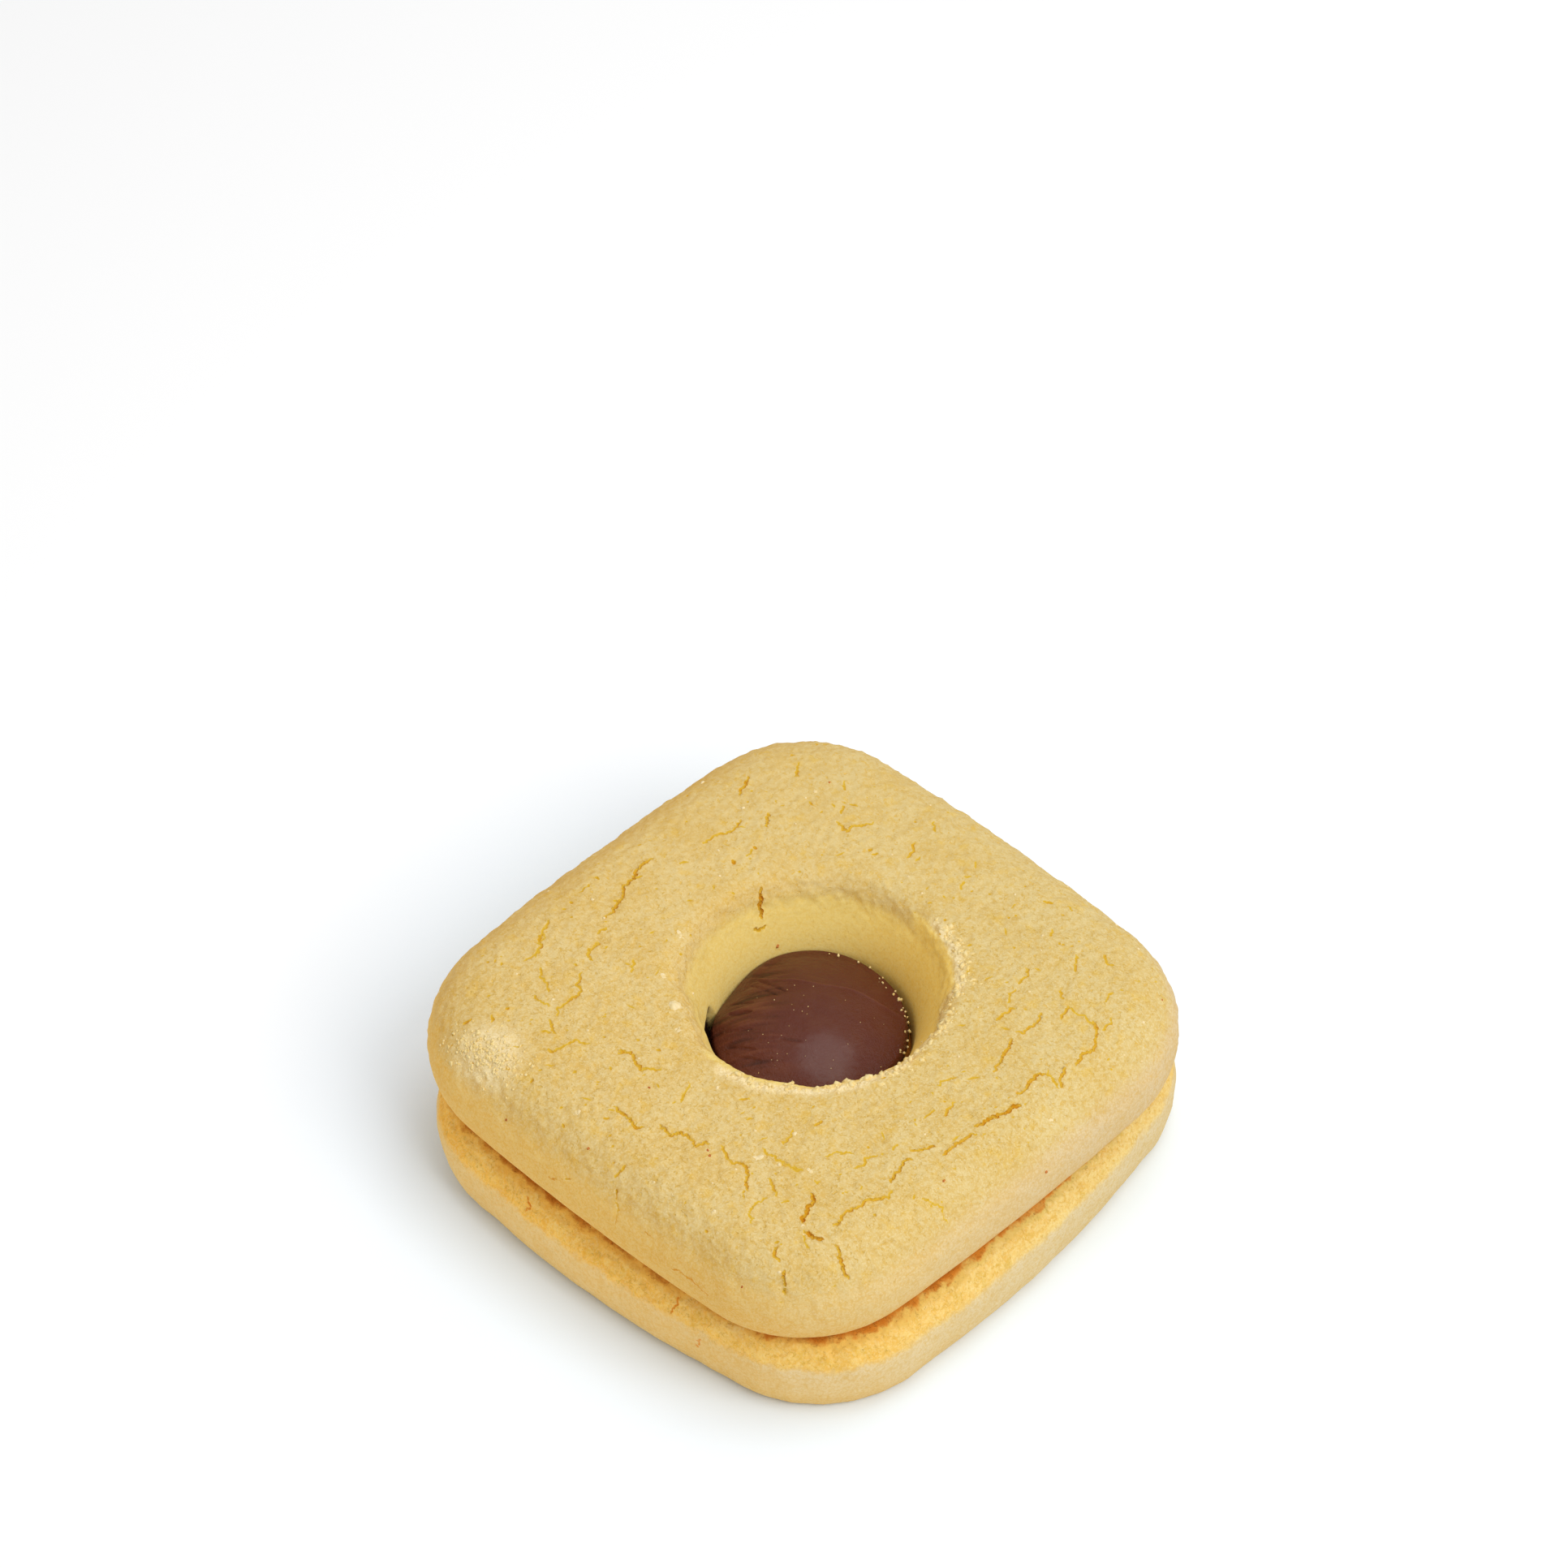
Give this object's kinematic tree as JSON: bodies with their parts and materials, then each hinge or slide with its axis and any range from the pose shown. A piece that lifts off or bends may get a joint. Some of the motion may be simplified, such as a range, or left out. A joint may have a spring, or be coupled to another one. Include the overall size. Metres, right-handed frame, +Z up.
{
  "type": "hazelnut filled biscuit",
  "caption": "Square shortcrust sandwich biscuit with rounded corners and a cone-shaped well in its upper half that shows a dome of hazelnut cocoa cream.",
  "frame": {"origin": "on the table, under the middle of the biscuit", "axes": "+Z up through both biscuits, the four flat sides face +X, -X, +Y and -Y"},
  "size_m": [0.0556, 0.0568, 0.0186],
  "materials": {
    "shortcrust_base": "matt baked shortcrust, smooth peach-gold sides and an orange crumbly edge at the joint",
    "shortcrust_top": "matt baked shortcrust, pale yellow and grainy with fine cracks on top, peach-gold on the sides",
    "hazelnut_cream": "brown cocoa and hazelnut cream with a soft satin sheen, a low fold and fine streaks"
  },
  "bodies": {
    "root": {"bottom_biscuit": "shortcrust_base", "top_biscuit": "shortcrust_top", "filling": "hazelnut_cream"}
  },
  "joints": []
}
